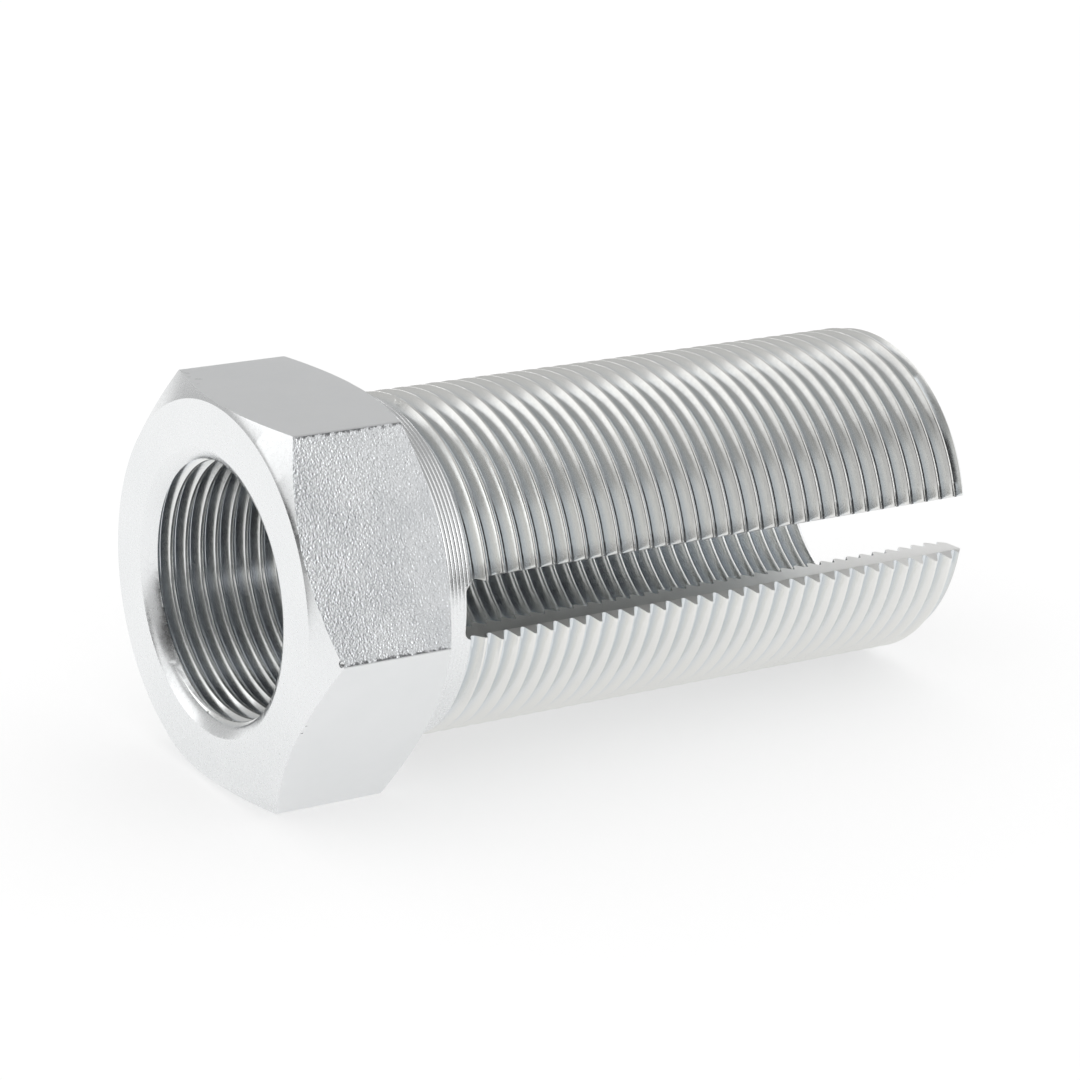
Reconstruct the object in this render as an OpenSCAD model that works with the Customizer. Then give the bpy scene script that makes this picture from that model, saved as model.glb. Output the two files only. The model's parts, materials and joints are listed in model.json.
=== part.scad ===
// Threaded adjuster sleeve, turned in one piece from hexagon bar.
// A hexagon head, a barrel with an outside thread, a tapped bore right through
// and one slot along the barrel, so that the barrel can be clamped.
// Millimetres. The sleeve lies along +X on a flat of its head, with +Z up.
// The origin is the centre of the head's front face, on the axis of the bore.
// Both threads are left smooth here: the barrel stands at the crests of the
// outside thread, and the bore at the crests of the inside thread.

/* [Head] */
// Width across the flats of the hexagon
hex_af = 31.75; // [30:0.05:36]
// Length of the head along the axis
head_len = 12.7; // [9:0.1:20]
// Angle of the turned chamfers on the hexagon's corners
chamfer_deg = 30; // [20:1:40]
// How much wider than the flats the front chamfer starts
front_margin = 0.15; // [0:0.05:1]
// How much wider than the flats the back chamfer starts
back_margin = 0.05; // [0:0.05:1]
// Width of the small bevel round the front face
face_bevel = 0.25; // [0.1:0.05:1]

/* [Barrel] */
// Length of the whole sleeve, head included
total_len = 66.675; // [45:0.025:100]
// Major diameter of the outside thread
thread_d = 28.575; // [26:0.025:29.8]
// Pitch of the outside thread
thread_pitch = 1.5875; // [1:0.0125:2]

/* [Bore] */
// Major diameter of the inside thread
inner_thread_d = 22.225; // [16:0.025:25]
// Pitch of the inside thread
inner_pitch = 1.4111; // [1:0.0001:2]
// How far the mouth in the head stands outside the inside thread, all round
mouth_relief = 0.7; // [0.2:0.05:2]
// Depth of the mouth along the axis
mouth_depth = 1.05; // [0.5:0.05:2.5]
// Width of the flatter bevel at the mouth's edge
mouth_bevel = 0.65; // [0.2:0.05:0.7]
// How far the tail stands outside the inside thread, all round
tail_relief = 0.35; // [0.1:0.05:0.8]

/* [Slot] */
// Width of the slot along the barrel
slot_w = 4.7625; // [2:0.0125:6]
// Length of whole barrel left between the head and the slot
slot_land = 2.55; // [1:0.05:15]
// Radius in the two corners of the slot's closed end
slot_corner_r = 0.8; // [0.3:0.05:0.95]
// Width of the bevel along each outer edge of the slot, where it meets the crests
slot_bevel_w = 0.42; // [0.1:0.01:0.9]
// Angle of the slot round the axis, from the top towards -Y
slot_deg = 86.3; // [0:0.1:180]

/* [Hidden] */
// Fineness of the round faces
$fn = 96;
// Sides of the bar
bar_sides = 6;
// Depth of an outside thread, as a share of its pitch
outer_depth_share = 0.6134;
// Depth of the inside thread as cut, as a share of its pitch
inner_depth_share = 0.38;
// Depth of the mouth's flatter bevel, as a share of its width
mouth_slope_share = 0.5;
// How far every cutter runs past the metal
overrun = 1;

corner_r = hex_af / 2 / cos(180 / bar_sides);
front_r = hex_af / 2 + front_margin / 2;
back_r = hex_af / 2 + back_margin / 2;
chamfer_slope = tan(chamfer_deg);
thread_r = thread_d / 2;
thread_depth = thread_pitch * outer_depth_share;
bore_r = inner_thread_d / 2 - inner_pitch * inner_depth_share;
mouth_r = inner_thread_d / 2 + mouth_relief;
tail_r = inner_thread_d / 2 + tail_relief;
slot_start = head_len + slot_land;
// The slot's bevels start at the root of the outside thread and end at its crests
root_r = thread_r - thread_depth;
bevel_from = sqrt(pow(root_r, 2) - pow(slot_w / 2, 2));
bevel_to = sqrt(pow(thread_r, 2) - pow(slot_w / 2 + slot_bevel_w, 2));
bevel_slope = slot_bevel_w / (bevel_to - bevel_from);

// Outline of the turned head, from the axis outwards
function head_outline() =
    let (
        rim_r = corner_r + overrun,
        rim_rise_front = (rim_r - front_r) * chamfer_slope,
        rim_rise_back = (rim_r - back_r) * chamfer_slope
    )
    [
        [0, 0],
        [front_r - face_bevel, 0],
        [front_r, face_bevel],
        [rim_r, face_bevel + rim_rise_front],
        [rim_r, head_len - rim_rise_back],
        [back_r, head_len],
        [0, head_len]
    ];

// Outline of the barrel with the chamfer that starts its thread
function barrel_outline() = [
    [0, 0],
    [thread_r, 0],
    [thread_r, total_len - thread_depth],
    [root_r, total_len],
    [0, total_len]
];

// Outline of everything that the bore takes away
function bore_outline() = [
    [0, -overrun],
    [mouth_r, -overrun],
    [mouth_r, 0],
    [mouth_r - mouth_bevel, mouth_bevel * mouth_slope_share],
    [bore_r, mouth_depth],
    [bore_r, total_len - (tail_r - bore_r)],
    [tail_r, total_len],
    [tail_r, total_len + overrun],
    [0, total_len + overrun]
];

// The hexagon bar, turned down at both ends of the head
module head() {
    intersection() {
        rotate([0, 0, 180 / bar_sides])
            cylinder(r = corner_r, h = head_len, $fn = bar_sides);
        rotate_extrude() polygon(head_outline());
    }
}

module barrel() {
    rotate_extrude() polygon(barrel_outline());
}

module bore() {
    rotate_extrude() polygon(bore_outline());
}

// The cutter for the slot runs out along X from the axis, through one wall
module slot_cutter() {
    reach = thread_r + overrun;
    corner_z = slot_start + slot_corner_r;
    corner_y = slot_w / 2 - slot_corner_r;
    bevelled_y = slot_w / 2 + (reach - bevel_from) * bevel_slope;
    translate([0, -slot_w / 2, corner_z])
        cube([reach, slot_w, total_len + overrun - corner_z]);
    translate([0, -corner_y, slot_start])
        cube([reach, 2 * corner_y, total_len + overrun - slot_start]);
    for (side = [-1, 1])
        translate([0, side * corner_y, corner_z])
            rotate([0, 90, 0])
                cylinder(r = slot_corner_r, h = reach);
    translate([0, 0, corner_z])
        linear_extrude(total_len + overrun - corner_z)
            polygon([
                [bevel_from, -slot_w / 2],
                [reach, -bevelled_y],
                [reach, bevelled_y],
                [bevel_from, slot_w / 2]
            ]);
}

// The whole sleeve, standing on its front face. It is drawn with the slot along
// +X and the head turned against it, then turned until a flat faces -X and +X
module sleeve_upright() {
    rotate([0, 0, 180 + slot_deg])
        difference() {
            union() {
                rotate([0, 0, -slot_deg]) head();
                barrel();
            }
            bore();
            slot_cutter();
        }
}

module adjuster_sleeve() {
    color([0.78, 0.80, 0.81])
        rotate([0, 90, 0]) sleeve_upright();
}

adjuster_sleeve();
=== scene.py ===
"""Looks of the threaded adjuster sleeve: its real threads, its zinc finish and a pale studio round it."""
import json
import logging
import math
from contextlib import contextmanager
from dataclasses import dataclass, field
from enum import Enum
from typing import Callable, Iterator

import bpy
import bmesh
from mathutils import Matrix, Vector


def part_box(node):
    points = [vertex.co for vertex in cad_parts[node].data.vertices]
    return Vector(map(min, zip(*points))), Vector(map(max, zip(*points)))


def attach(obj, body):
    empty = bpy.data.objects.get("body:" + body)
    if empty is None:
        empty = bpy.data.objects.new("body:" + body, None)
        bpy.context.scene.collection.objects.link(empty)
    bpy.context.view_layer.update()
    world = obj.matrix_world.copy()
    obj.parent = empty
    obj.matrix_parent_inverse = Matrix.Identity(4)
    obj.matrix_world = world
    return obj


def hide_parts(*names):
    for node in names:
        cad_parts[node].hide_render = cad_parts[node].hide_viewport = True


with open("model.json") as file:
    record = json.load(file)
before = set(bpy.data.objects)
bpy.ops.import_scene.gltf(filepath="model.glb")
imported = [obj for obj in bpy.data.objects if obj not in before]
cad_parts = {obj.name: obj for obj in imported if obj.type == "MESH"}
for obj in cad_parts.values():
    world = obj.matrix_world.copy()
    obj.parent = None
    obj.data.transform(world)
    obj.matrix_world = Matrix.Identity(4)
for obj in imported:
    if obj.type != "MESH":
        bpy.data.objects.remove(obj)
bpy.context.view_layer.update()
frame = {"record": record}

MM = 0.001
WELD_REACH = 0.0005 * MM
OVERRUN = 1.0 * MM
NODE = "adjuster_sleeve"
LOG = logging.getLogger("adjuster_sleeve")

Outline = list[tuple[float, float]]
Colour = tuple[float, float, float]


class Hand(Enum):
    """Which way a thread winds. The value is the sign of its advance along +X."""

    RIGHT = 1
    LEFT = -1


class Join(Enum):
    """What a tool solid does to the work piece."""

    WELD = "UNION"
    CUT = "DIFFERENCE"
    TRIM = "INTERSECT"


class Skin(Enum):
    """The finishes on the sleeve, in the order of its material slots."""

    TURNED = 0
    BRIGHT_FLAT = 1
    PEBBLED_FLAT = 2
    OUTER_THREAD = 3
    INNER_THREAD = 4
    SAWN = 5


def mount_radius(name: str) -> float:
    """Reads a mount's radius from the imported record.

    Args:
        name: the mount's name.

    Returns:
        The radius in metres.
    """
    for mount in frame["record"]["mounts"]:
        if mount["name"] == name:
            return mount["dims"]["r_mm"] * MM
    raise KeyError(name)


def deselect_all() -> None:
    """Leaves nothing selected, because operators act on all that is."""
    for item in bpy.context.selected_objects:
        item.select_set(False)


def pick(piece: bpy.types.Object) -> None:
    """Makes one object the only selected and the active one.

    Args:
        piece: the object to work on.
    """
    deselect_all()
    piece.select_set(True)
    bpy.context.view_layer.objects.active = piece


def settle(piece: bpy.types.Object) -> None:
    """Puts a piece's place, turn and scale into its mesh, so that its object sits at the origin.

    Args:
        piece: the object to settle.
    """
    pick(piece)
    bpy.ops.object.transform_apply(location=True, rotation=True, scale=True)


@contextmanager
def editing(piece: bpy.types.Object) -> Iterator[bpy.types.Object]:
    """Opens an object in edit mode and closes it again.

    Args:
        piece: the object to edit.

    Returns:
        The same object, while it is in edit mode.
    """
    pick(piece)
    bpy.ops.object.mode_set(mode="EDIT")
    yield piece
    bpy.ops.object.mode_set(mode="OBJECT")


def select_edges(piece: bpy.types.Object, wanted: Callable[[Vector, Vector], bool]) -> None:
    """Selects the edges that a test picks, in an object that is in edit mode.

    Args:
        piece: the object in edit mode.
        wanted: says yes or no from an edge's two ends.
    """
    bpy.ops.mesh.select_mode(type="EDGE")
    bpy.ops.mesh.select_all(action="DESELECT")
    mesh = bmesh.from_edit_mesh(piece.data)
    for edge in mesh.edges:
        edge.select_set(wanted(edge.verts[0].co, edge.verts[1].co))
    bmesh.update_edit_mesh(piece.data)


def weld_and_face_out(solid: bpy.types.Object) -> None:
    """Merges a solid's doubled points and turns its faces outwards, in edit mode.

    Args:
        solid: the closed solid, in edit mode.
    """
    bpy.ops.mesh.select_all(action="SELECT")
    bpy.ops.mesh.remove_doubles(threshold=WELD_REACH)
    bpy.ops.mesh.normals_make_consistent(inside=False)
    if bmesh.from_edit_mesh(solid.data).calc_volume(signed=True) < 0:
        bpy.ops.mesh.flip_normals()


def draw_outline(name: str, outline: Outline) -> bpy.types.Object:
    """Draws a chain of edges in the plane above the axis, one point after another.

    Args:
        name: name of the new object.
        outline: points as (distance along X, distance from the axis).

    Returns:
        The object, left in object mode at the origin.
    """
    deselect_all()
    bpy.ops.mesh.primitive_plane_add(size=MM)
    chain = bpy.context.object
    chain.name = name
    along, out = outline[0]
    with editing(chain):
        bpy.ops.mesh.select_mode(type="VERT")
        bpy.ops.mesh.select_all(action="SELECT")
        bpy.ops.mesh.merge(type="CENTER")
        bpy.ops.transform.translate(value=(along, 0.0, out))
        for next_along, next_out in outline[1:]:
            step = (next_along - along, 0.0, next_out - out)
            bpy.ops.mesh.extrude_region_move(TRANSFORM_OT_translate={"value": step})
            along, out = next_along, next_out
    return chain


def turn(name: str, outline: Outline, steps: int) -> bpy.types.Object:
    """Turns an outline about the X axis into a closed solid.

    Args:
        name: name of the new object.
        outline: points as (distance along X, distance from the axis), both ends on the axis.
        steps: how many facets go round.

    Returns:
        The turned solid.
    """
    solid = draw_outline(name, outline)
    with editing(solid):
        bpy.ops.mesh.select_all(action="SELECT")
        bpy.ops.mesh.spin(steps=steps, angle=math.tau, center=(0.0, 0.0, 0.0), axis=(1.0, 0.0, 0.0))
        weld_and_face_out(solid)
    return solid


def apply_modifier(piece: bpy.types.Object, kind: str, **settings: object) -> None:
    """Adds a modifier, sets it and applies it.

    Args:
        piece: the object that takes the modifier.
        kind: the modifier's type.
        settings: its properties by name.
    """
    modifier = piece.modifiers.new(kind.lower(), kind)
    for key, value in settings.items():
        setattr(modifier, key, value)
    pick(piece)
    bpy.ops.object.modifier_apply(modifier=modifier.name)


def join(work: bpy.types.Object, tool: bpy.types.Object, how: Join) -> None:
    """Welds, cuts or trims the work piece with a tool solid, and takes the tool away.

    Args:
        work: the work piece, changed in place.
        tool: the tool solid, deleted afterwards.
        how: what the tool does.
    """
    apply_modifier(work, "BOOLEAN", object=tool, operation=how.value, solver="MANIFOLD")
    bpy.data.objects.remove(tool)


@dataclass
class Thread:
    """A V thread with small flats, rounded where the flats meet the flanks.

    The shares are of the pitch, along the axis.
    """

    top_radius: float
    pitch: float
    hand: Hand
    crest_at_top: float
    steps: int
    crest_share: float
    crest_round_share: float
    root_share: float
    root_round_share: float
    flank_slope: float = math.tan(math.radians(60.0))
    round_slope: float = math.tan(math.radians(30.0))
    groove_over: float = 0.02 * MM
    ring_span_share: float = 1.02
    spare_turns: int = 2

    @property
    def flank_share(self) -> float:
        """Length of one flank along the axis, as a share of the pitch."""
        rounds = 2 * (self.crest_round_share + self.root_round_share)
        return (1 - self.crest_share - self.root_share - rounds) / 2

    @property
    def depth(self) -> float:
        """Depth from crest to root."""
        rounds = (self.crest_round_share + self.root_round_share) * self.round_slope
        return self.pitch * (rounds + self.flank_share * self.flank_slope)

    def profile(self, first_crest: float) -> Outline:
        """Works out one pitch of the thread, from one crest's start to the next.

        Args:
            first_crest: place along X of the first crest's middle.

        Returns:
            The profile's points, both ends at the top radius.
        """
        down = [
            (self.crest_share, 0.0),
            (self.crest_round_share, -self.crest_round_share * self.round_slope),
            (self.flank_share, -self.flank_share * self.flank_slope),
            (self.root_round_share, -self.root_round_share * self.round_slope),
        ]
        up = [(along, -drop) for along, drop in reversed(down[1:])]
        points = [(first_crest - self.crest_share * self.pitch / 2, self.top_radius)]
        for along, rise in down + [(self.root_share, 0.0)] + up:
            last_along, last_out = points[-1]
            points.append((last_along + along * self.pitch, last_out + rise * self.pitch))
        return points

    def wind(self, chain: bpy.types.Object, turns: int) -> None:
        """Winds a drawn outline along the thread's helix.

        Args:
            chain: the outline's object, changed in place.
            turns: how many times it goes round.
        """
        apply_modifier(
            chain,
            "SCREW",
            axis="X",
            angle=math.tau * self.hand.value,
            screw_offset=self.pitch,
            iterations=turns,
            steps=self.steps,
            render_steps=self.steps,
        )

    def rod(self, name: str, start: float, end: float) -> bpy.types.Object:
        """Winds the profile into a threaded rod between two places on the axis.

        Args:
            name: name of the new object.
            start: place along X of the rod's near end.
            end: place along X of its far end.

        Returns:
            The closed rod.
        """
        before = math.ceil((self.crest_at_top - start) / self.pitch) + self.spare_turns
        turns = math.ceil((end - start) / self.pitch) + 2 * self.spare_turns
        first_crest = self.crest_at_top - before * self.pitch
        rod = draw_outline(name, self.profile(first_crest))
        self.wind(rod, turns)
        with editing(rod):
            bpy.ops.mesh.select_all(action="SELECT")
            bpy.ops.mesh.remove_doubles(threshold=WELD_REACH)
            for place, keep_below in ((start, False), (end, True)):
                bpy.ops.mesh.select_all(action="SELECT")
                bpy.ops.mesh.bisect(
                    plane_co=(place, 0.0, 0.0),
                    plane_no=(1.0, 0.0, 0.0),
                    clear_inner=not keep_below,
                    clear_outer=keep_below,
                )
            bpy.ops.mesh.select_all(action="SELECT")
            bpy.ops.mesh.remove_doubles(threshold=WELD_REACH)
            bpy.ops.mesh.fill_holes(sides=0)
            weld_and_face_out(rod)
        return rod

    def groove(self, name: str, start_deg: float, end: float, fade_rings: int,
               fade: float) -> bpy.types.Object:
        """Winds the room between two crests into a cutter that fades in at its start.

        Args:
            name: name of the new object.
            start_deg: where it begins round the axis, from the top towards -Y, before the first crest.
            end: place along X that it runs past.
            fade_rings: how many steps the fading takes.
            fade: how much further out the first step stands, as a share of its radius.

        Returns:
            The closed cutter.
        """
        crest = self.crest_at_top + (start_deg / 360.0 - 1.0) * self.pitch
        outline = self.profile(crest)[1:]
        along = self.groove_over / self.round_slope
        outline = [(outline[0][0] - along, outline[0][1] + self.groove_over), *outline]
        outline.append((outline[-1][0] + along, outline[-1][1] + self.groove_over))
        cutter = draw_outline(name, outline)
        with editing(cutter):
            bpy.ops.mesh.select_all(action="DESELECT")
            mesh = bmesh.from_edit_mesh(cutter.data)
            for vertex in mesh.verts:
                vertex.select_set(len(vertex.link_edges) == 1)
            bmesh.update_edit_mesh(cutter.data)
            bpy.ops.mesh.edge_face_add()
        self.wind(cutter, math.ceil((end - crest) / self.pitch) + 1)
        with editing(cutter):
            bpy.ops.mesh.select_all(action="SELECT")
            bpy.ops.mesh.remove_doubles(threshold=WELD_REACH)
            for ring in range(fade_rings):
                self.select_ring(cutter, ring, outline[0][0])
                spread = 1 + fade * (1 - ring / fade_rings)
                bpy.ops.transform.resize(value=(1.0, spread, spread), center_override=(0.0, 0.0, 0.0))
            bpy.ops.mesh.select_all(action="SELECT")
            bpy.ops.mesh.fill_holes(sides=0)
            weld_and_face_out(cutter)
        cutter.rotation_euler = (math.radians(start_deg), 0.0, 0.0)
        settle(cutter)
        return cutter

    def select_ring(self, cutter: bpy.types.Object, ring: int, first: float) -> None:
        """Selects one step's points in the first turn of a groove cutter, in edit mode.

        Args:
            cutter: the cutter, whose first step stands over the axis.
            ring: which step.
            first: place along X of the first step's near end.
        """
        bpy.ops.mesh.select_mode(type="VERT")
        bpy.ops.mesh.select_all(action="DESELECT")
        mesh = bmesh.from_edit_mesh(cutter.data)
        step_angle = math.tau / self.steps
        near = first + ring / self.steps * self.pitch - WELD_REACH
        far = near + self.ring_span_share * self.pitch
        for vertex in mesh.verts:
            x, y, z = vertex.co
            off = abs(math.remainder(math.atan2(-y, z) - ring * step_angle, math.tau))
            vertex.select_set(near <= x <= far and off < step_angle / 4)
        bmesh.update_edit_mesh(cutter.data)


@dataclass
class HexHead:
    """The hexagon head, chamfered by turning at both ends."""

    across_flats: float
    length: float = 12.7 * MM
    chamfer_deg: float = 30.0
    front_margin: float = 0.15 * MM
    back_margin: float = 0.05 * MM
    face_bevel: float = 0.25 * MM
    edge_bevel: float = 0.08 * MM
    bevel_segments: int = 2
    sides: int = 6
    steps: int = 360

    @property
    def corner_radius(self) -> float:
        """Distance from the axis to the hexagon's corners."""
        return self.across_flats / 2 / math.cos(math.pi / self.sides)

    @property
    def side_length(self) -> float:
        """Width of one flat, from corner to corner."""
        return self.across_flats * math.tan(math.pi / self.sides)

    @property
    def pebbled_normal(self) -> Vector:
        """The way the pebbled flat looks: one side round from the top, towards -Y."""
        turned = math.tau / self.sides
        return Vector((0.0, -math.sin(turned), math.cos(turned)))

    @property
    def pebbled_across(self) -> Vector:
        """The direction across the pebbled flat, from its upper border to its lower one."""
        turned = math.tau / self.sides
        return Vector((0.0, -math.cos(turned), -math.sin(turned)))

    def turned_outline(self) -> Outline:
        """Outline that the lathe leaves on the head, from the front face to the back."""
        slope = math.tan(math.radians(self.chamfer_deg))
        rim = self.corner_radius + OVERRUN
        front = (self.across_flats + self.front_margin) / 2
        back = (self.across_flats + self.back_margin) / 2
        return [
            (0.0, 0.0),
            (0.0, front - self.face_bevel),
            (self.face_bevel, front),
            (self.face_bevel + (rim - front) * slope, rim),
            (self.length - (rim - back) * slope, rim),
            (self.length, back),
            (self.length, 0.0),
        ]

    def build(self) -> bpy.types.Object:
        """Cuts the hexagon bar to length and turns its chamfers.

        Returns:
            The head as a closed solid, with a flat facing straight down.
        """
        deselect_all()
        bpy.ops.mesh.primitive_cylinder_add(
            vertices=self.sides,
            radius=self.corner_radius,
            depth=self.length + 2 * OVERRUN,
            location=(self.length / 2, 0.0, 0.0),
            rotation=(0.0, math.pi / 2, 0.0),
        )
        head = bpy.context.object
        head.name = NODE + "_look"
        settle(head)
        with editing(head):
            select_edges(head, lambda a, b: abs(a.x - b.x) > self.length)
            bpy.ops.mesh.bevel(offset=self.edge_bevel, segments=self.bevel_segments, profile=0.5)
        join(head, turn("head_turning", self.turned_outline(), self.steps), Join.TRIM)
        return head


@dataclass
class Barrel:
    """The barrel: a plain neck with the marks of a coarse feed, the outside thread and its end chamfer."""

    thread: Thread
    start: float
    end: float
    plain_end: float = 16.6 * MM
    feed: float = 0.34 * MM
    ridge_depth: float = 0.04 * MM
    ridge_points: int = 5
    chamfer: float = 0.974 * MM
    groove_start_deg: float = -110.0
    fade_rings: int = 12
    fade: float = 0.075

    def blank_outline(self) -> Outline:
        """Outline of the turned blank: the scalloped neck, the plain barrel and the end chamfer."""
        radius = self.thread.top_radius
        points = [(self.start - OVERRUN, 0.0), (self.start - OVERRUN, radius)]
        ridges = int((self.plain_end - self.start) / self.feed)
        for ridge in range(ridges):
            for step in range(self.ridge_points):
                share = step / self.ridge_points
                dip = self.ridge_depth * (1 - (2 * share - 1) ** 2)
                points.append((self.start + (ridge + share) * self.feed, radius - dip))
        points += [
            (self.start + ridges * self.feed, radius),
            (self.end - self.chamfer, radius),
            (self.end, radius - self.chamfer),
            (self.end, 0.0),
        ]
        return points

    def build(self) -> bpy.types.Object:
        """Turns the blank and cuts the thread's groove into it.

        Returns:
            The barrel as a closed solid.
        """
        barrel = turn("barrel", self.blank_outline(), self.thread.steps)
        groove = self.thread.groove("groove", self.groove_start_deg, self.end, self.fade_rings, self.fade)
        join(barrel, groove, Join.CUT)
        return barrel


@dataclass
class Bore:
    """The tapped bore, with its turned mouth in the head and a small chamfer at the tail."""

    thread: Thread
    end: float
    mouth_radius: float = 11.8125 * MM
    mouth_depth: float = 1.05 * MM
    mouth_bevel: float = 0.65 * MM
    mouth_bevel_depth: float = 0.325 * MM
    tail_radius: float = 11.4625 * MM
    tap_start: float = 0.7 * MM
    mouth_reach_share: float = 0.55

    @property
    def crest_radius(self) -> float:
        """Distance from the axis to the crests, which stand inwards."""
        return self.thread.top_radius - self.thread.depth

    @property
    def mouth_fall(self) -> float:
        """How fast the mouth's steeper slope closes in towards the axis."""
        drop = self.mouth_radius - self.mouth_bevel - self.crest_radius
        return drop / (self.mouth_depth - self.mouth_bevel_depth)

    def mouth_outline(self) -> Outline:
        """Outline of the tool that opens the mouth."""
        reach = self.mouth_reach_share * self.mouth_depth
        depth = self.mouth_depth + reach
        return [
            (-OVERRUN, 0.0),
            (-OVERRUN, self.mouth_radius),
            (0.0, self.mouth_radius),
            (self.mouth_bevel_depth, self.mouth_radius - self.mouth_bevel),
            (depth, self.crest_radius - self.mouth_fall * reach),
            (depth, 0.0),
        ]

    def tail_outline(self) -> Outline:
        """Outline of the tool that chamfers the tail."""
        inner = self.crest_radius - OVERRUN
        return [
            (self.end - (self.tail_radius - inner), 0.0),
            (self.end - (self.tail_radius - inner), inner),
            (self.end, self.tail_radius),
            (self.end + OVERRUN, self.tail_radius),
            (self.end + OVERRUN, 0.0),
        ]

    def build(self) -> bpy.types.Object:
        """Joins the tap and the two chamfering tools into one cutter.

        The tap starts inside the mouth, whose slopes stay unbroken.

        Returns:
            The cutter as a closed solid.
        """
        tap = self.thread.rod("tap", self.tap_start, self.end + OVERRUN / 2)
        join(tap, turn("mouth_tool", self.mouth_outline(), self.thread.steps), Join.WELD)
        join(tap, turn("tail_tool", self.tail_outline(), self.thread.steps), Join.WELD)
        return tap


@dataclass
class Slot:
    """The slot sawn along the barrel and open at its end."""

    start: float
    end: float
    outer_radius: float
    root_radius: float
    width: float = 4.7625 * MM
    corner_radius: float = 0.8 * MM
    corner_segments: int = 8
    angle_deg: float = 86.3
    bevel_width: float = 0.42 * MM
    bevel_start: float = 17.6 * MM

    def block(self, name: str, start: float, floor: float, wide: float) -> bpy.types.Object:
        """Places a block over the slot, standing on a level above the axis.

        Args:
            name: name of the new object.
            start: where it begins along X.
            floor: its lowest level, measured from the axis.
            wide: its width.

        Returns:
            The block, which runs past the barrel's end and its crests.
        """
        length = self.end + OVERRUN - start
        height = self.outer_radius + OVERRUN - floor
        deselect_all()
        bpy.ops.mesh.primitive_cube_add(
            size=1.0,
            location=(start + length / 2, 0.0, floor + height / 2),
            scale=(length, wide, height),
        )
        block = bpy.context.object
        block.name = name
        settle(block)
        return block

    def bevel_tool(self) -> bpy.types.Object:
        """Shapes the wedge that breaks the slot's outer edges, from the thread's root to its crest."""
        low = math.sqrt(self.root_radius**2 - (self.width / 2) ** 2)
        high = math.sqrt(self.outer_radius**2 - (self.width / 2 + self.bevel_width) ** 2)
        tool = self.block("slot_bevel_tool", self.bevel_start, low, self.width)
        top = self.outer_radius + OVERRUN
        spread = 1 + 2 * self.bevel_width / (high - low) * (top - low) / self.width
        with editing(tool):
            select_edges(tool, lambda a, b: a.z > high and b.z > high)
            bpy.ops.transform.resize(value=(1.0, spread, 1.0), center_override=(0.0, 0.0, 0.0))
        return tool

    def build(self) -> bpy.types.Object:
        """Shapes the slot cutter, which runs from the axis out through one wall.

        Returns:
            The cutter as a closed solid.
        """
        cutter = self.block("slot_cutter", self.start, 0.0, self.width)
        with editing(cutter):
            near = self.start + self.corner_radius
            select_edges(
                cutter, lambda a, b: a.x < near and b.x < near and abs(a.z - b.z) > self.corner_radius
            )
            bpy.ops.mesh.bevel(offset=self.corner_radius, segments=self.corner_segments, profile=0.5)
        join(cutter, self.bevel_tool(), Join.WELD)
        cutter.rotation_euler = (math.radians(self.angle_deg), 0.0, 0.0)
        settle(cutter)
        return cutter


@dataclass(frozen=True)
class Nick:
    """A small dent or scratch: its place and half sizes in millimetres, and its turn about Z."""

    place: tuple[float, float, float]
    half_sizes: tuple[float, float, float]
    turn_deg: float = 0.0

    def build(self) -> bpy.types.Object:
        """Shapes the stretched ball that leaves the mark.

        Returns:
            The ball as a closed solid.
        """
        deselect_all()
        bpy.ops.mesh.primitive_ico_sphere_add(
            subdivisions=2,
            radius=MM,
            location=Vector(self.place) * MM,
            rotation=(0.0, 0.0, math.radians(self.turn_deg)),
            scale=self.half_sizes,
        )
        ball = bpy.context.object
        settle(ball)
        return ball


@dataclass(frozen=True)
class Wear:
    """The nicks and scratches that the photographed sleeve has picked up."""

    nicks: tuple[Nick, ...] = (
        Nick((1.5, -18.1, 0.3), (0.3, 0.22, 0.32)),
        Nick((0.4, -14.55, -6.55), (0.14, 0.1, 0.2)),
        Nick((0.5, -14.95, -5.85), (0.18, 0.06, 0.08)),
        Nick((0.0, -11.95, -9.25), (0.03, 0.12, 0.06)),
        Nick((1.75, 8.05, 15.885), (0.34, 0.04, 0.035), -23.5),
        Nick((1.4, 7.1, 15.885), (0.16, 0.035, 0.03), -23.5),
        Nick((1.8, 6.35, 15.885), (0.46, 0.04, 0.035), -23.5),
        Nick((1.1, 5.25, 15.885), (0.28, 0.035, 0.03), -23.5),
        Nick((16.7, -0.35, 14.12), (0.05, 0.62, 0.06)),
        Nick((16.55, -0.45, 13.85), (0.05, 0.45, 0.06)),
        Nick((0.85, 1.05, -10.8), (0.1, 0.14, 0.1)),
        Nick((0.5, 1.8, -11.2), (0.08, 0.1, 0.06)),
    )

    def build(self) -> bpy.types.Object:
        """Gathers the marks' balls into one cutter.

        Returns:
            The cutter, made of separate closed solids.
        """
        balls = [nick.build() for nick in self.nicks]
        for ball in balls:
            ball.select_set(True)
        bpy.context.view_layer.objects.active = balls[0]
        bpy.ops.object.join()
        balls[0].name = "wear_tool"
        return balls[0]


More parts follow.
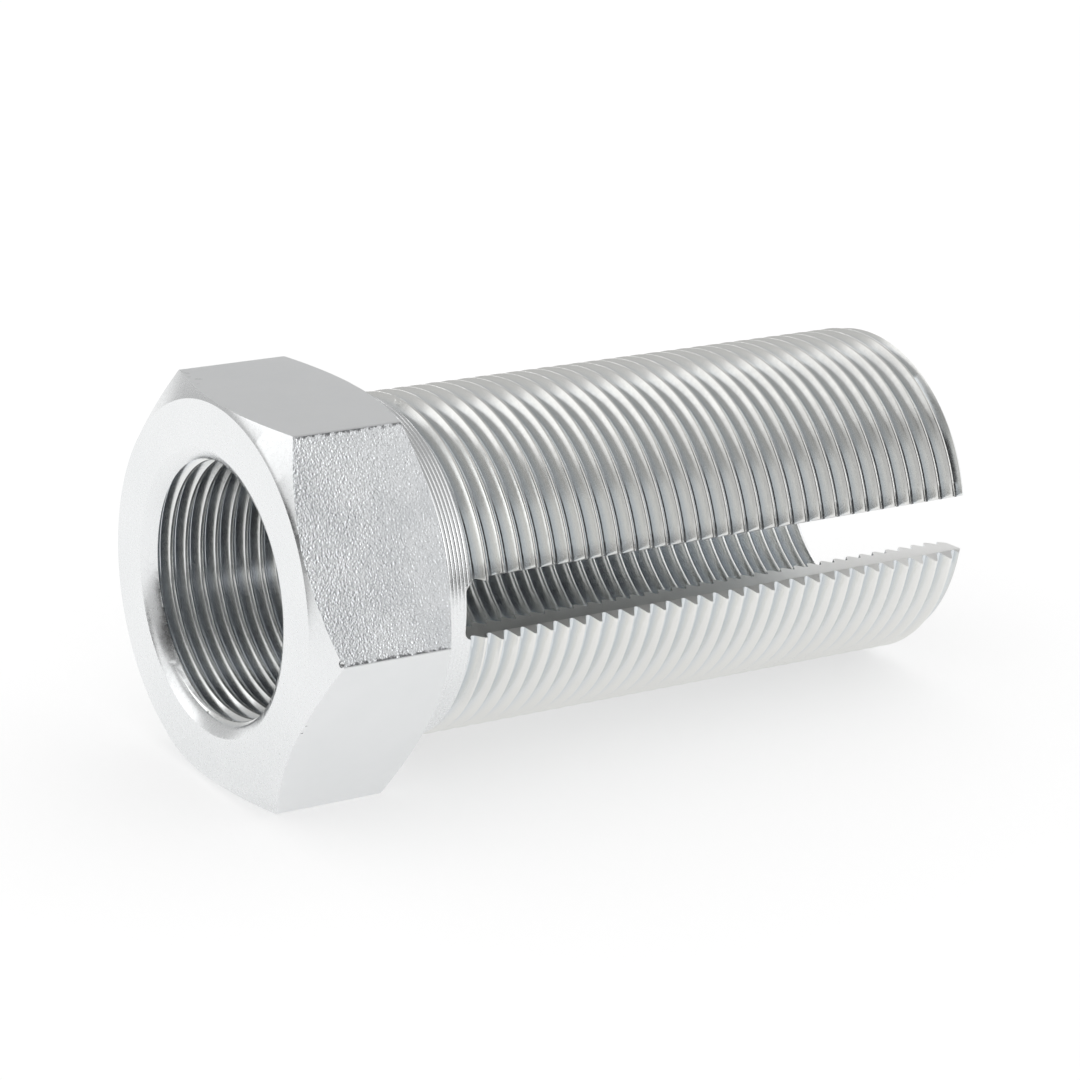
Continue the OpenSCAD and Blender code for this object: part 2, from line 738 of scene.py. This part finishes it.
@dataclass
class Sleeve:
    """The whole sleeve, made in the order that the real one is machined."""

    total_length: float
    across_flats: float
    barrel_radius: float
    bore_radius: float
    outer_pitch: float = 1.5875 * MM
    inner_pitch: float = 1.4111 * MM
    slot_land: float = 2.55 * MM
    outer_crest_at_top: float = 16.911 * MM
    inner_groove_at_top: float = 1.16 * MM
    smooth_deg: float = 25.0
    head: HexHead = field(init=False)
    thread: Thread = field(init=False)
    barrel: Barrel = field(init=False)
    bore: Bore = field(init=False)
    slot: Slot = field(init=False)

    def __post_init__(self) -> None:
        """Sizes the sub-assemblies from the sleeve's own sizes."""
        self.head = HexHead(across_flats=self.across_flats)
        self.thread = Thread(
            top_radius=self.barrel_radius,
            pitch=self.outer_pitch,
            hand=Hand.RIGHT,
            crest_at_top=self.outer_crest_at_top,
            steps=144,
            crest_share=0.07,
            crest_round_share=0.035,
            root_share=0.06,
            root_round_share=0.09,
        )
        self.barrel = Barrel(thread=self.thread, start=self.head.length, end=self.total_length)
        tap = Thread(
            top_radius=0.0,
            pitch=self.inner_pitch,
            hand=Hand.LEFT,
            crest_at_top=self.inner_groove_at_top,
            steps=90,
            crest_share=0.08,
            crest_round_share=0.05,
            root_share=0.14,
            root_round_share=0.05,
        )
        tap.top_radius = self.bore_radius + tap.depth
        self.bore = Bore(thread=tap, end=self.total_length)
        self.slot = Slot(
            start=self.head.length + self.slot_land,
            end=self.total_length,
            outer_radius=self.barrel_radius,
            root_radius=self.barrel_radius - self.barrel.chamfer,
        )

    def build(self) -> bpy.types.Object:
        """Makes the sleeve as one closed mesh.

        Returns:
            The sleeve's object, at the origin.
        """
        sleeve = self.head.build()
        join(sleeve, self.barrel.build(), Join.WELD)
        join(sleeve, self.bore.build(), Join.CUT)
        join(sleeve, self.slot.build(), Join.CUT)
        join(sleeve, Wear().build(), Join.CUT)
        pick(sleeve)
        bpy.ops.object.shade_smooth_by_angle(angle=math.radians(self.smooth_deg))
        return sleeve


@dataclass
class FaceSorter:
    """Gives each face of the sleeve its finish, by where it lies and which way it looks."""

    sleeve: Sleeve
    reach: float = 0.02 * MM
    lip_reach: float = 1.2 * MM
    round_deg: float = 40.0
    bevel_facing: float = 0.8
    pebbled_facing: float = 0.99
    flat_tilt: float = 0.05
    slot_out: Vector = field(init=False)
    slot_across: Vector = field(init=False)

    def __post_init__(self) -> None:
        """Works out which way the slot opens and which way its width runs."""
        slot_angle = math.radians(self.sleeve.slot.angle_deg)
        self.slot_out = Vector((0.0, -math.sin(slot_angle), math.cos(slot_angle)))
        self.slot_across = Vector((0.0, math.cos(slot_angle), math.sin(slot_angle)))

    def in_slot(self, place: Vector, normal: Vector) -> bool:
        """Says whether a face is one of the slot's walls or the bevels beside them.

        Args:
            place: the face's middle.
            normal: the way it looks.

        Returns:
            True on a wall or a bevel.
        """
        slot = self.sleeve.slot
        across = place.dot(self.slot_across)
        facing = -math.copysign(1.0, across) * normal.dot(self.slot_across)
        wide = slot.width / 2 + (slot.bevel_width if facing > self.bevel_facing else 0.0)
        inside = place.x > slot.start - self.reach and abs(across) < wide + self.reach
        return inside and place.dot(self.slot_out) > self.sleeve.bore.crest_radius / 2

    def near_slot(self, place: Vector) -> bool:
        """Says whether a place lies close beside the slot, which has cut the thread's faces short there."""
        slot = self.sleeve.slot
        wide = slot.width / 2 + slot.bevel_width + self.lip_reach
        return place.dot(self.slot_out) > 0 and abs(place.dot(self.slot_across)) < wide

    def in_bore(self, place: Vector, out: float) -> bool:
        """Says whether a face belongs to the inside thread and not to a chamfer of the bore.

        Args:
            place: the face's middle.
            out: its distance from the axis.

        Returns:
            True on the inside thread.
        """
        bore = self.sleeve.bore
        if out > bore.thread.top_radius + self.reach:
            return False
        mouth = bore.mouth_radius - bore.mouth_bevel - (place.x - bore.mouth_bevel_depth) * bore.mouth_fall
        tail = bore.tail_radius - (bore.end - place.x)
        on_chamfer = abs(out - mouth) < self.reach or abs(out - tail) < self.reach
        return not on_chamfer and place.x > bore.mouth_bevel_depth

    def skin_of(self, place: Vector, normal: Vector) -> Skin:
        """Picks the finish of one face.

        Args:
            place: the face's middle.
            normal: the way it looks.

        Returns:
            The face's finish.
        """
        out = math.hypot(place.y, place.z)
        head = self.sleeve.head
        if self.in_slot(place, normal):
            return Skin.SAWN
        if self.in_bore(place, out):
            return Skin.INNER_THREAD
        if place.x < head.length and abs(normal.x) < self.flat_tilt and out > self.sleeve.barrel_radius:
            pebbled = normal.dot(head.pebbled_normal) > self.pebbled_facing
            return Skin.PEBBLED_FLAT if pebbled else Skin.BRIGHT_FLAT
        barrel = self.sleeve.barrel
        on_neck = place.x < barrel.plain_end and out > barrel.thread.top_radius - 2 * barrel.ridge_depth
        if place.x < head.length + self.reach or on_neck or place.x > barrel.end - self.reach:
            return Skin.TURNED
        return Skin.OUTER_THREAD if out > self.sleeve.bore.tail_radius else Skin.TURNED

    def sort(self, piece: bpy.types.Object) -> None:
        """Sets the material index of every face, and which edges are sharp.

        An edge is sharp wherever two finishes meet. Inside a thread its rounded edges are smooth.

        Args:
            piece: the sleeve's object.
        """
        for face in piece.data.polygons:
            face.material_index = self.skin_of(face.center, face.normal).value
        threads = {Skin.OUTER_THREAD.value, Skin.INNER_THREAD.value}
        round_angle = math.radians(self.round_deg)
        with editing(piece):
            mesh = bmesh.from_edit_mesh(piece.data)
            for edge in mesh.edges:
                skins = {face.material_index for face in edge.link_faces}
                middle = (edge.verts[0].co + edge.verts[1].co) / 2
                if len(skins) > 1:
                    edge.smooth = False
                elif skins <= threads and not self.near_slot(middle):
                    edge.smooth = edge.calc_face_angle(math.pi) < round_angle
            bmesh.update_edit_mesh(piece.data)


class NodeBench:
    """Short ways to add and link nodes in one tree."""

    def __init__(self, tree: bpy.types.NodeTree) -> None:
        """Takes the tree to work on.

        Args:
            tree: a material's, world's or group's node tree.
        """
        self.tree = tree

    def add(self, kind: str, **settings: object) -> bpy.types.Node:
        """Adds a node.

        Args:
            kind: the node's type name.
            settings: its properties by name.

        Returns:
            The node.
        """
        node = self.tree.nodes.new(kind)
        for key, value in settings.items():
            setattr(node, key, value)
        return node

    def feed(self, socket: bpy.types.NodeSocket, source: object) -> None:
        """Links an output to an input, or sets the input's own value.

        Args:
            socket: the input.
            source: an output socket, a number or a colour.
        """
        if isinstance(source, bpy.types.NodeSocket):
            self.tree.links.new(source, socket)
        else:
            socket.default_value = source

    def maths(self, operation: str, *values: object) -> bpy.types.NodeSocket:
        """Adds a Math node.

        Args:
            operation: what it does.
            values: its inputs, numbers or sockets.

        Returns:
            Its output.
        """
        node = self.add("ShaderNodeMath", operation=operation)
        for socket, value in zip(node.inputs, values):
            self.feed(socket, value)
        return node.outputs[0]

    def ramp(self, value: object, low: float, high: float, out_low: float = 0.0,
             out_high: float = 1.0) -> bpy.types.NodeSocket:
        """Adds a smooth Map Range node.

        Args:
            value: what is mapped.
            low: where the ramp starts.
            high: where it ends.
            out_low: what it gives at the start.
            out_high: what it gives at the end.

        Returns:
            Its output.
        """
        node = self.add("ShaderNodeMapRange", interpolation_type="SMOOTHSTEP")
        for socket, source in zip(node.inputs, (value, low, high, out_low, out_high)):
            self.feed(socket, source)
        return node.outputs["Result"]

    def noise(self, vector: object, scale: float, detail: float = 2.0,
              roughness: float = 0.5) -> bpy.types.NodeSocket:
        """Adds a noise texture.

        Args:
            vector: its coordinates.
            scale: grains a metre.
            detail: how many finer layers it has.
            roughness: how strong they are.

        Returns:
            Its value, about one half in the middle.
        """
        node = self.add("ShaderNodeTexNoise")
        self.feed(node.inputs["Vector"], vector)
        self.feed(node.inputs["Scale"], scale)
        self.feed(node.inputs["Detail"], detail)
        self.feed(node.inputs["Roughness"], roughness)
        return node.outputs["Fac"]

    def dot(self, vector: object, direction: tuple[float, float, float]) -> bpy.types.NodeSocket:
        """Adds a dot product with a fixed direction.

        Args:
            vector: the coordinates.
            direction: the direction.

        Returns:
            The distance along that direction.
        """
        node = self.add("ShaderNodeVectorMath", operation="DOT_PRODUCT")
        self.feed(node.inputs[0], vector)
        self.feed(node.inputs[1], direction)
        return node.outputs["Value"]

    def blend(self, share: object, first: object, second: object) -> bpy.types.NodeSocket:
        """Mixes two colours.

        Args:
            share: how much of the second shows.
            first: the first colour.
            second: the second colour.

        Returns:
            The mixed colour.
        """
        node = self.add("ShaderNodeMix", data_type="RGBA")
        self.feed(node.inputs["Factor"], share)
        self.feed(node.inputs["A"], first)
        self.feed(node.inputs["B"], second)
        return node.outputs["Result"]


@dataclass(frozen=True)
class GroupMaker:
    """A shader node group with named inputs and outputs, built once."""

    name: str
    inputs: tuple[tuple[str, str, float], ...]
    outputs: tuple[tuple[str, str], ...]

    def start(self) -> tuple[NodeBench, bpy.types.Node, bpy.types.Node]:
        """Opens an empty group with its sockets.

        Returns:
            The bench, the group's input node and its output node.
        """
        tree = bpy.data.node_groups.new(self.name, "ShaderNodeTree")
        for name, kind, value in self.inputs:
            socket = tree.interface.new_socket(name=name, in_out="INPUT", socket_type=kind)
            if kind == "NodeSocketFloat":
                socket.default_value = value
        for name, kind in self.outputs:
            tree.interface.new_socket(name=name, in_out="OUTPUT", socket_type=kind)
        bench = NodeBench(tree)
        return bench, bench.add("NodeGroupInput"), bench.add("NodeGroupOutput")


def make_bloom_group() -> bpy.types.NodeTree:
    """Builds the soft cloudiness of zinc plate.

    Returns:
        A group that gives a cloud mask and a fine speckle mask.
    """
    maker = GroupMaker(
        "zinc_bloom",
        (("Vector", "NodeSocketVector", 0.0), ("Cloud Scale", "NodeSocketFloat", 120.0),
         ("Speck Scale", "NodeSocketFloat", 2500.0)),
        (("Cloud", "NodeSocketFloat"), ("Speck", "NodeSocketFloat")),
    )
    bench, given, result = maker.start()
    cloud_span, speck_span = (0.32, 0.68), (0.35, 0.65)
    cloud = bench.noise(given.outputs["Vector"], given.outputs["Cloud Scale"], detail=3.0, roughness=0.6)
    speck = bench.noise(given.outputs["Vector"], given.outputs["Speck Scale"])
    bench.feed(result.inputs["Cloud"], bench.ramp(cloud, *cloud_span))
    bench.feed(result.inputs["Speck"], bench.ramp(speck, *speck_span))
    return bench.tree


def make_turning_group() -> bpy.types.NodeTree:
    """Builds the uneven rings that a lathe tool leaves.

    Returns:
        A group that gives a height, from rings round the axis and rings along it, and the radius.
    """
    maker = GroupMaker(
        "turning_marks",
        (("Vector", "NodeSocketVector", 0.0), ("Rings Per Metre", "NodeSocketFloat", 5000.0)),
        (("Height", "NodeSocketFloat"), ("Radius", "NodeSocketFloat")),
    )
    bench, given, result = maker.start()
    split = bench.add("ShaderNodeSeparateXYZ")
    bench.feed(split.inputs[0], given.outputs["Vector"])
    across = bench.maths("MULTIPLY", split.outputs["Y"], split.outputs["Y"])
    up = bench.maths("MULTIPLY", split.outputs["Z"], split.outputs["Z"])
    out = bench.maths("SQRT", bench.maths("ADD", across, up))
    place = bench.maths("ADD", out, split.outputs["X"])
    rings = bench.add("ShaderNodeTexNoise", noise_dimensions="1D")
    bench.feed(rings.inputs["W"], place)
    bench.feed(rings.inputs["Scale"], given.outputs["Rings Per Metre"])
    bench.feed(rings.inputs["Detail"], 2.0)
    bench.feed(result.inputs["Height"], rings.outputs["Fac"])
    bench.feed(result.inputs["Radius"], out)
    return bench.tree


def make_pebble_group() -> bpy.types.NodeTree:
    """Builds the pebbled skin of the flat that was left as forged.

    Returns:
        A group that gives a height and a mask of the pits between the pebbles.
    """
    maker = GroupMaker(
        "pebbled_skin",
        (("Vector", "NodeSocketVector", 0.0), ("Pebbles Per Metre", "NodeSocketFloat", 5200.0)),
        (("Height", "NodeSocketFloat"), ("Pits", "NodeSocketFloat")),
    )
    bench, given, result = maker.start()
    grain_share, dome_share, pit_span = 0.8, 0.4, (0.45, 0.62)
    pebbles = given.outputs["Pebbles Per Metre"]
    grain = bench.noise(given.outputs["Vector"], pebbles, roughness=0.6)
    cells = bench.add("ShaderNodeTexVoronoi", feature="SMOOTH_F1")
    bench.feed(cells.inputs["Vector"], given.outputs["Vector"])
    bench.feed(cells.inputs["Scale"], pebbles)
    bench.feed(cells.inputs["Smoothness"], 0.6)
    domes = bench.maths("SUBTRACT", 1.0, cells.outputs["Distance"])
    grain, domes = bench.maths("MULTIPLY", grain, grain_share), bench.maths("MULTIPLY", domes, dome_share)
    height = bench.maths("ADD", grain, domes)
    bench.feed(result.inputs["Height"], height)
    # The pits' mask is used to paint shade into the flat's colour.
    bench.feed(result.inputs["Pits"], bench.ramp(height, *pit_span, 1.0, 0.0))
    return bench.tree


@dataclass(frozen=True)
class ZincFinish:
    """One finish of the zinc-plated steel: its colour, gloss and fine relief, with painted shade in the
    thread roots and the pebbles' pits where it is set.
    """

    name: str
    colour: Colour
    dark: Colour
    roughness: float
    bloom: float = 0.5
    clouds_per_metre: float = 120.0
    specks_per_metre: float = 2500.0
    roughness_spread: float = 0.02
    turning_depth: float = 0.0
    rings_per_metre: float = 5000.0
    pebble_depth: float = 0.0
    pebbles_per_metre: float = 5200.0
    back_depth_share: float = 0.55
    # How far the pits between the pebbles are darkened, as painted shade.
    pit_shade_strength: float = 0.25
    border_dark: float = 0.0
    border_colour: Colour = (0.1, 0.1, 0.105)
    border_span: tuple[float, float] = (-0.16 * MM, 0.08 * MM)
    border_ragged: float = 0.3 * MM
    # Painted shade in the thread roots: the darker, bluer colour there, and the radii from the root side to
    # the crest side over which it fades out.
    root_shade_colour: Colour | None = None
    root_shade_radii: tuple[float, float] = (0.0, 0.0)

    def build(self, groups: dict[str, bpy.types.NodeTree], head: HexHead) -> bpy.types.Material:
        """Builds the material.

        Args:
            groups: the shared node groups by name.
            head: the head, whose flat places the dark borders.

        Returns:
            The material.
        """
        material = bpy.data.materials.new(self.name)
        material.use_nodes = True
        bench = NodeBench(material.node_tree)
        shader = material.node_tree.nodes["Principled BSDF"]
        coords = bench.add("ShaderNodeTexCoord").outputs["Object"]
        bloom = bench.add("ShaderNodeGroup", node_tree=groups["bloom"])
        bench.feed(bloom.inputs["Vector"], coords)
        bench.feed(bloom.inputs["Cloud Scale"], self.clouds_per_metre)
        bench.feed(bloom.inputs["Speck Scale"], self.specks_per_metre)
        shade = bench.maths("MULTIPLY", bloom.outputs["Cloud"], self.bloom)
        height: object = None
        depth = 0.0
        if self.pebble_depth:
            pebbles = bench.add("ShaderNodeGroup", node_tree=groups["pebbles"])
            bench.feed(pebbles.inputs["Vector"], coords)
            bench.feed(pebbles.inputs["Pebbles Per Metre"], self.pebbles_per_metre)
            along = bench.dot(coords, (1.0, 0.0, 0.0))
            softer = bench.ramp(along, 0.0, head.length, 1.0, self.back_depth_share)
            height, depth = bench.maths("MULTIPLY", pebbles.outputs["Height"], softer), self.pebble_depth
            # Painted shade: the pits between the pebbles are darkened towards the finish's dark colour.
            pits = bench.maths("MULTIPLY", pebbles.outputs["Pits"], self.pit_shade_strength)
            shade = bench.maths("MAXIMUM", shade, pits)
        marks = bench.add("ShaderNodeGroup", node_tree=groups["turning"])
        bench.feed(marks.inputs["Vector"], coords)
        bench.feed(marks.inputs["Rings Per Metre"], self.rings_per_metre)
        if self.turning_depth:
            height, depth = marks.outputs["Height"], self.turning_depth
        colour = bench.blend(shade, (*self.colour, 1.0), (*self.dark, 1.0))
        # Painted shade: towards the thread's roots the colour turns darker and bluer, where the grooves lie
        # in shade.
        if self.root_shade_colour:
            inner, outer = sorted(self.root_shade_radii)
            starts_at_root = self.root_shade_radii[0] < self.root_shade_radii[1]
            ends = (1.0, 0.0) if starts_at_root else (0.0, 1.0)
            painted_root_shade = bench.ramp(marks.outputs["Radius"], inner, outer, *ends)
            colour = bench.blend(painted_root_shade, colour, (*self.root_shade_colour, 1.0))
        if self.border_dark:
            colour = self.darken_borders(bench, coords, bloom.outputs["Speck"], colour, head)
        bench.feed(shader.inputs["Base Color"], colour)
        shader.inputs["Metallic"].default_value = 1.0
        low, high = self.roughness - self.roughness_spread, self.roughness + self.roughness_spread
        bench.feed(shader.inputs["Roughness"], bench.ramp(bloom.outputs["Speck"], 0.0, 1.0, low, high))
        if height is not None:
            bump = bench.add("ShaderNodeBump")
            bump.inputs["Strength"].default_value = 1.0
            bump.inputs["Distance"].default_value = depth
            bench.feed(bump.inputs["Height"], height)
            bench.feed(shader.inputs["Normal"], bump.outputs["Normal"])
        return material

    def darken_borders(self, bench: NodeBench, coords: object, speck: object, colour: object,
                       head: HexHead) -> bpy.types.NodeSocket:
        """Darkens the two long borders of the pebbled flat in broken dots.

        Args:
            bench: the material's bench.
            coords: the object coordinates.
            speck: the fine speckle mask.
            colour: the colour so far.
            head: the head, for the flat's place.

        Returns:
            The colour with its borders.
        """
        across = bench.maths("ABSOLUTE", bench.dot(coords, tuple(head.pebbled_across)))
        edge = head.side_length / 2
        low, high = (edge + offset for offset in self.border_span)
        ragged = bench.maths("ADD", across, bench.maths("MULTIPLY", speck, self.border_ragged))
        border = bench.ramp(ragged, low, high, 0.0, self.border_dark)
        return bench.blend(border, colour, (*self.border_colour, 1.0))


class FinishRack:
    """All finishes of the sleeve, one for each skin."""

    FINISHES: dict[Skin, ZincFinish] = {
        Skin.TURNED: ZincFinish(
            name="turned_zinc", colour=(0.85, 0.86, 0.865), dark=(0.81, 0.825, 0.83), roughness=0.26,
            turning_depth=0.0005 * MM),
        Skin.BRIGHT_FLAT: ZincFinish(
            name="bright_flat_zinc", colour=(0.84, 0.85, 0.855), dark=(0.8, 0.815, 0.82), roughness=0.3),
        # The pebbled finish carries painted shade in its pits.
        Skin.PEBBLED_FLAT: ZincFinish(
            name="pebbled_flat_zinc", colour=(0.86, 0.875, 0.89), dark=(0.6, 0.62, 0.64),
            roughness=0.2, pebble_depth=0.12 * MM, border_dark=0.8),
        # The two thread finishes carry painted shade in their roots.
        Skin.OUTER_THREAD: ZincFinish(
            name="outer_thread_zinc", colour=(0.865, 0.865, 0.845), dark=(0.83, 0.83, 0.81), roughness=0.2,
            turning_depth=0.0005 * MM, root_shade_colour=(0.74, 0.77, 0.79), root_shade_radii=(13.4 * MM, 14.1 * MM)),
        Skin.INNER_THREAD: ZincFinish(
            name="inner_thread_zinc", colour=(0.86, 0.87, 0.86), dark=(0.8, 0.81, 0.79), roughness=0.2,
            root_shade_colour=(0.72, 0.75, 0.78), root_shade_radii=(11.2 * MM, 10.7 * MM)),
        Skin.SAWN: ZincFinish(
            name="sawn_zinc", colour=(0.86, 0.86, 0.85), dark=(0.78, 0.78, 0.76), roughness=0.36),
    }

    def dress(self, piece: bpy.types.Object, sleeve: Sleeve) -> None:
        """Puts the finishes on the sleeve and gives each face its own.

        Args:
            piece: the sleeve's object.
            sleeve: the sized sleeve.
        """
        groups = {
            "bloom": make_bloom_group(),
            "turning": make_turning_group(),
            "pebbles": make_pebble_group(),
        }
        piece.data.materials.clear()
        for skin in Skin:
            piece.data.materials.append(self.FINISHES[skin].build(groups, sleeve.head))
        FaceSorter(sleeve).sort(piece)
        apply_modifier(piece, "WEIGHTED_NORMAL", mode="FACE_AREA", keep_sharp=True)


@dataclass(frozen=True)
class Panel:
    """A curved studio panel, white, grey or black, that only shows in the metal's reflections.

    Its angles are seen from the sleeve: azimuth from -Y round towards +X, elevation from level.
    """

    name: str
    azimuths_deg: tuple[float, float]
    elevations_deg: tuple[float, float]
    level: float
    distance: float = 1.4
    step_deg: float = 5.0

    def build(self, centre: Vector) -> bpy.types.Object:
        """Hangs the panel round the sleeve.

        Args:
            centre: what the panel stands round.

        Returns:
            The panel.
        """
        low, high = (self.distance * math.tan(math.radians(angle)) for angle in self.elevations_deg)
        first, last = self.azimuths_deg
        panel = draw_outline(self.name, [(self.distance, low), (self.distance, high)])
        with editing(panel):
            bpy.ops.mesh.select_all(action="SELECT")
            bpy.ops.mesh.spin(
                steps=math.ceil((last - first) / self.step_deg),
                angle=-math.radians(last - first),
                center=(0.0, 0.0, 0.0),
                axis=(0.0, 0.0, 1.0),
            )
        panel.rotation_euler = (0.0, 0.0, math.radians(first - 90.0))
        panel.location = centre
        return light_up(panel, self.level)


@dataclass(frozen=True)
class Ceiling:
    """The dim card over the sleeve, which also only shows in reflections."""

    name: str = "ceiling_card"
    size: float = 3.0
    height: float = 1.5
    level: float = 0.43

    def build(self, centre: Vector) -> bpy.types.Object:
        """Hangs the card.

        Args:
            centre: what the card hangs over.

        Returns:
            The card.
        """
        deselect_all()
        bpy.ops.mesh.primitive_plane_add(size=self.size, location=centre + Vector((0.0, 0.0, self.height)))
        card = bpy.context.object
        card.name = self.name
        return light_up(card, self.level)


def light_up(panel: bpy.types.Object, level: float) -> bpy.types.Object:
    """Gives a panel its even glow and hides it from all but reflections.

    Args:
        panel: the panel.
        level: how bright it is, where 1 is white.

    Returns:
        The same panel.
    """
    material = bpy.data.materials.new(panel.name)
    material.use_nodes = True
    bench = NodeBench(material.node_tree)
    material.node_tree.nodes.clear()
    glow = bench.add("ShaderNodeEmission")
    glow.inputs["Color"].default_value = (level, level, level, 1.0)
    output = bench.add("ShaderNodeOutputMaterial")
    bench.feed(output.inputs["Surface"], glow.outputs[0])
    panel.data.materials.append(material)
    panel.visible_camera = False
    panel.visible_diffuse = False
    panel.visible_shadow = False
    return panel


@dataclass(frozen=True)
class Studio:
    """The pale floor, the white surround, the panels and the camera."""

    camera_location: tuple[float, float, float] = (-0.14451, -0.25461, 0.11141)
    camera_turn_deg: tuple[float, float, float] = (70.1555, -3.5937, -33.3846)
    lens_mm: float = 130.27
    sensor_mm: float = 36.0
    clip_start: float = 10 * MM
    world_level: float = 1.0
    floor_size: float = 6.0
    floor_grey: float = 0.95
    floor_glow: float = 0.75
    floor_glow_seen: float = 1.1
    floor_glow_share: float = 0.5
    panels: tuple[Panel | Ceiling, ...] = (
        Panel("surround", (-180.0, 180.0), (-6.0, 46.0), 0.55, 1.6),
        Panel("right_box", (60.0, 135.0), (-6.0, 20.0), 2.3),
        Panel("right_box_top", (60.0, 105.0), (20.0, 46.0), 1.1),
        Panel("right_wing", (135.0, 165.0), (-6.0, 8.0), 2.0),
        Panel("front_box", (0.0, 60.0), (8.0, 46.0), 0.77),
        Panel("front_card", (0.0, 60.0), (-6.0, 8.0), 0.02),
        Panel("camera_card", (-60.0, 0.0), (-6.0, 46.0), 0.02),
        Panel("camera_card_top", (-90.0, -60.0), (20.0, 46.0), 0.02),
        Panel("left_box", (-137.0, -120.0), (-6.0, 20.0), 1.65),
        Panel("left_box_top", (-137.0, -105.0), (20.0, 32.0), 1.2),
        Panel("left_box_side", (-120.0, -105.0), (8.0, 20.0), 1.2),
        Panel("left_box_edge", (-105.0, -90.0), (8.0, 32.0), 0.93),
        Panel("left_card", (-120.0, -90.0), (-6.0, 8.0), 0.01),
        Panel("top_left_box", (-120.0, -60.0), (46.0, 62.0), 1.25, 0.75),
        Ceiling(),
    )

    def build_floor(self, sleeve: Sleeve) -> bpy.types.Object:
        """Lays the floor under the head's lower flat and the barrel's end.

        Args:
            sleeve: the sized sleeve, which rests on the floor at those two places.

        Returns:
            The floor.
        """
        rest_end = sleeve.total_length - sleeve.barrel.chamfer
        rise = sleeve.across_flats / 2 - sleeve.barrel_radius
        tilt = math.atan2(rise, rest_end - sleeve.head.length)
        deselect_all()
        bpy.ops.mesh.primitive_plane_add(
            size=self.floor_size,
            location=(sleeve.head.length, 0.0, -sleeve.across_flats / 2),
            rotation=(0.0, -tilt, 0.0),
        )
        floor = bpy.context.object
        floor.name = "floor"
        material = bpy.data.materials.new("white_floor")
        material.use_nodes = True
        bench = NodeBench(material.node_tree)
        material.node_tree.nodes.clear()
        paper = bench.add("ShaderNodeBsdfDiffuse")
        paper.inputs["Color"].default_value = (self.floor_grey, self.floor_grey, self.floor_grey, 1.0)
        glow = bench.add("ShaderNodeEmission")
        path = bench.add("ShaderNodeLightPath")
        seen = bench.maths("MAXIMUM", path.outputs["Is Camera Ray"], path.outputs["Is Glossy Ray"])
        seen = bench.maths("MAXIMUM", seen, path.outputs["Is Transmission Ray"])
        strength = bench.ramp(seen, 0.0, 1.0, self.floor_glow, self.floor_glow_seen)
        bench.feed(glow.inputs["Strength"], strength)
        mixed = bench.add("ShaderNodeMixShader")
        mixed.inputs["Fac"].default_value = self.floor_glow_share
        bench.feed(mixed.inputs[1], paper.outputs[0])
        bench.feed(mixed.inputs[2], glow.outputs[0])
        output = bench.add("ShaderNodeOutputMaterial")
        bench.feed(output.inputs["Surface"], mixed.outputs[0])
        floor.data.materials.append(material)
        return floor

    def build_world(self) -> None:
        """Surrounds the scene with plain white, which also lights it."""
        world = bpy.data.worlds.new("studio_white")
        bpy.context.scene.world = world
        world.use_nodes = True
        bench = NodeBench(world.node_tree)
        world.node_tree.nodes.clear()
        background = bench.add("ShaderNodeBackground")
        background.inputs["Strength"].default_value = self.world_level
        background.inputs["Color"].default_value = (1.0, 1.0, 1.0, 1.0)
        output = bench.add("ShaderNodeOutputWorld")
        bench.feed(output.inputs["Surface"], background.outputs[0])

    def build_camera(self) -> bpy.types.Object:
        """Sets the camera where the photograph was taken from.

        Returns:
            The camera.
        """
        deselect_all()
        turn = tuple(math.radians(angle) for angle in self.camera_turn_deg)
        bpy.ops.object.camera_add(location=self.camera_location, rotation=turn)
        camera = bpy.context.object
        camera.data.lens = self.lens_mm
        camera.data.sensor_width = self.sensor_mm
        camera.data.clip_start = self.clip_start
        bpy.context.scene.camera = camera
        return camera

    def build(self, sleeve: Sleeve) -> None:
        """Builds the whole studio.

        Args:
            sleeve: the sized sleeve.
        """
        centre = Vector((sleeve.total_length / 2, 0.0, 0.0))
        self.build_world()
        self.build_floor(sleeve)
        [panel.build(centre) for panel in self.panels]
        self.build_camera()
        bpy.context.scene.view_settings.view_transform = "Standard"


def main() -> None:
    """Builds the sleeve and its studio, and keeps the sizes of both models."""
    logging.basicConfig(level=logging.INFO, format="%(name)s: %(message)s")
    low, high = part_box(NODE)
    sleeve = Sleeve(
        total_length=high.x,
        across_flats=high.z - low.z,
        barrel_radius=mount_radius("outer_thread"),
        bore_radius=mount_radius("inner_thread"),
    )
    piece = sleeve.build()
    FinishRack().dress(piece, sleeve)
    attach(piece, "root")
    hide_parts(NODE)
    LOG.info("%s: %d faces", piece.name, len(piece.data.polygons))
    studio = Studio()
    studio.build(sleeve)
    LOG.info("studio: floor, world, %d panels and camera", len(studio.panels))


if __name__ == "__main__":
    main()
